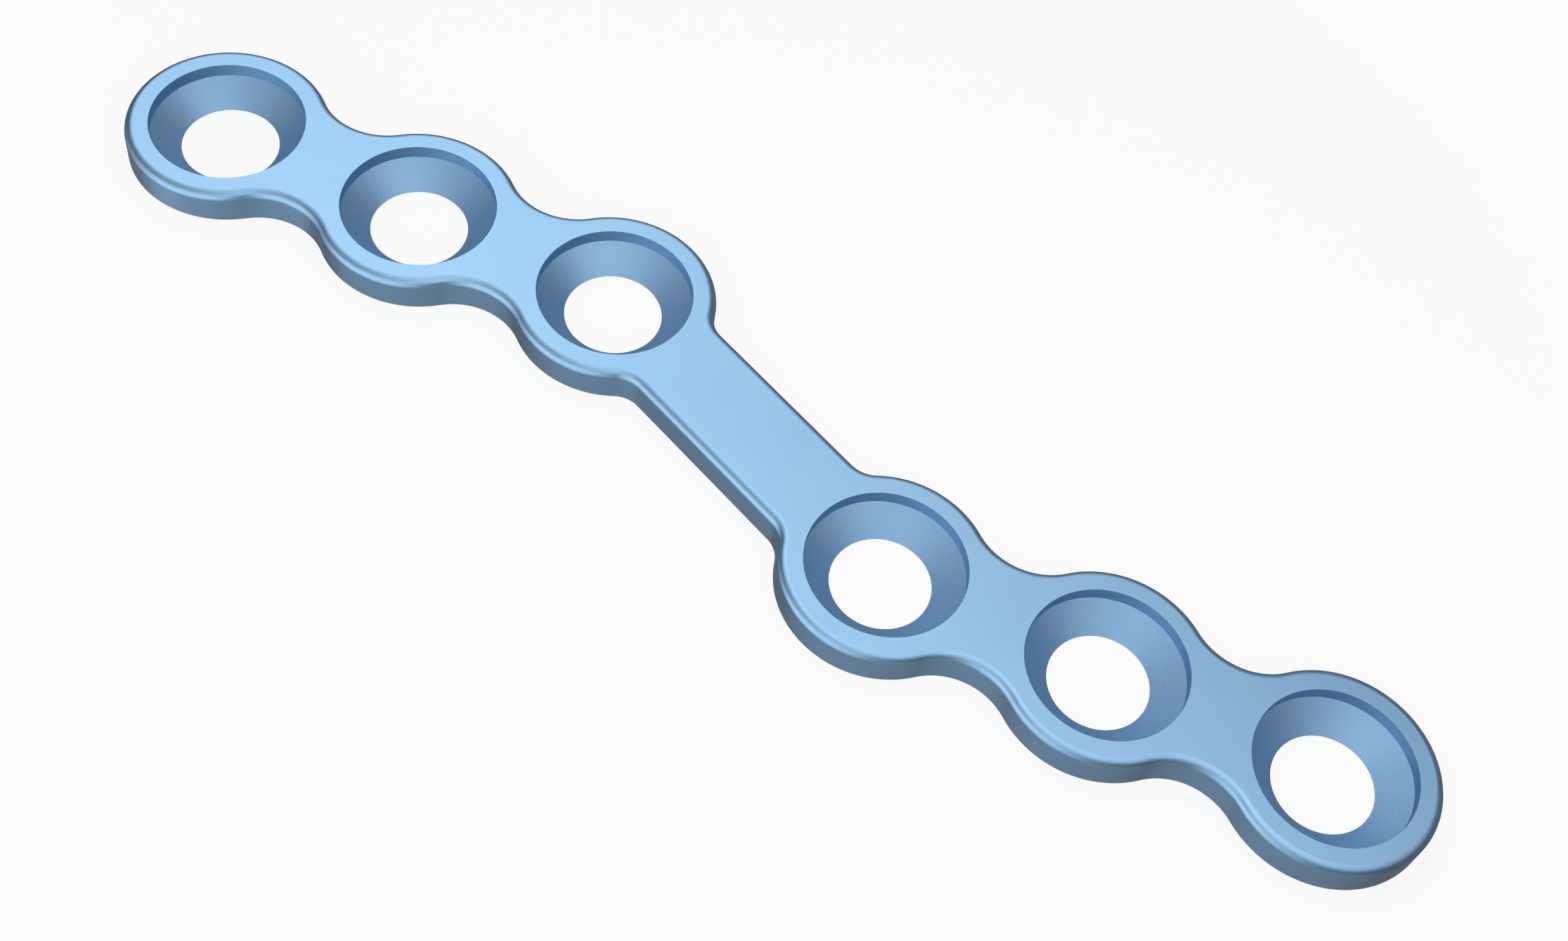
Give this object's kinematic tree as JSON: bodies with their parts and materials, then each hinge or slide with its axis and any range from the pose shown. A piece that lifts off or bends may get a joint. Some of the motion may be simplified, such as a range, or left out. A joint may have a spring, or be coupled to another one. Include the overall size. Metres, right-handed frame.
{
  "type": "bone plate",
  "caption": "Flat scalloped bone plate with countersunk screw holes in rows that are set off sideways and joined by a slanting bar.",
  "frame": {"origin": "middle of the bone side, which the plate rests on; half a turn about this point brings the plate onto itself", "axes": "+X along the rows of screw holes, +Z from the bone side up to the side that the screws enter"},
  "size_m": [0.04, 0.01, 0.001],
  "materials": {
    "anodised_titanium": "satin"
  },
  "bodies": {
    "root": {"bone_plate": "anodised_titanium"}
  },
  "joints": []
}
